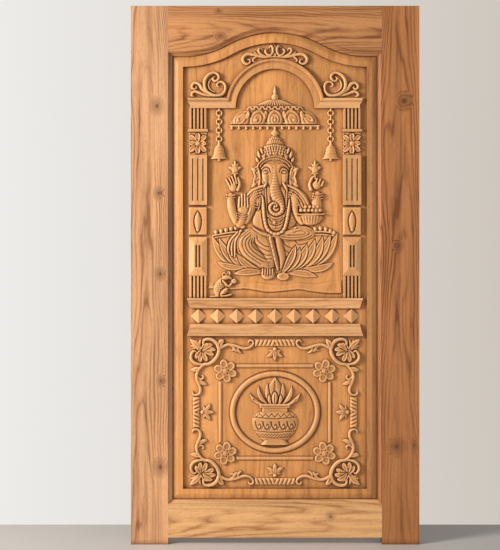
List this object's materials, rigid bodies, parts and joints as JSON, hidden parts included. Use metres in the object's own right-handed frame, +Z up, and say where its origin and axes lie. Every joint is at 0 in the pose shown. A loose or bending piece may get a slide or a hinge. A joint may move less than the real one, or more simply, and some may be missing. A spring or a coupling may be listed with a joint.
{
  "type": "carved temple door",
  "caption": "Hardwood door leaf: arched frame and panel, carved with a seated elephant-headed deity in a canopied niche over a water pot framed by vine scrolls.",
  "frame": {"origin": "middle of the leaf's bottom edge, level with the ends of the horns and halfway through the leaf's thickness", "axes": "+X across the leaf to the right as seen from the carved front, +Y from the front to the back, +Z up the leaf"},
  "size_m": [1.143, 0.045, 2.134],
  "materials": {
    "frame_wood": "oiled, satin",
    "panel_wood": "oiled, satin",
    "carving_wood": "oiled, satin"
  },
  "bodies": {
    "root": {"arch_moulding": "carving_wood", "bottom_bud": "carving_wood", "bottom_left_corner_scroll": "carving_wood", "bottom_left_rosette": "carving_wood", "bottom_rail": "frame_wood", "bottom_right_corner_scroll": "carving_wood", "bottom_right_rosette": "carving_wood", "bottom_rope": "carving_wood", "canopy": "carving_wood", "carved_panel": "panel_wood", "crest_scroll": "carving_wood", "diamond_studs": "carving_wood", "kalash_pot": "carving_wood", "left_bell_on_chain": "carving_wood", "left_bud": "carving_wood", "left_cornice": "carving_wood", "left_flower_block": "carving_wood", "left_fluted_block": "carving_wood", "left_lens_block": "carving_wood", "left_pilaster_foot": "carving_wood", "left_rope": "carving_wood", "left_spandrel_scroll": "carving_wood", "left_stile": "frame_wood", "left_upper_reeds": "carving_wood", "lower_string_course": "carving_wood", "mouse": "carving_wood", "right_bell_on_chain": "carving_wood", "right_bud": "carving_wood", "right_cornice": "carving_wood", "right_flower_block": "carving_wood", "right_fluted_block": "carving_wood", "right_lens_block": "carving_wood", "right_pilaster_foot": "carving_wood", "right_rope": "carving_wood", "right_spandrel_scroll": "carving_wood", "right_stile": "frame_wood", "right_upper_reeds": "carving_wood", "seated_figure": "carving_wood", "top_bud": "carving_wood", "top_left_corner_scroll": "carving_wood", "top_left_rosette": "carving_wood", "top_rail": "frame_wood", "top_right_corner_scroll": "carving_wood", "top_right_rosette": "carving_wood", "top_rope": "carving_wood", "upper_string_course": "carving_wood"}
  },
  "joints": []
}
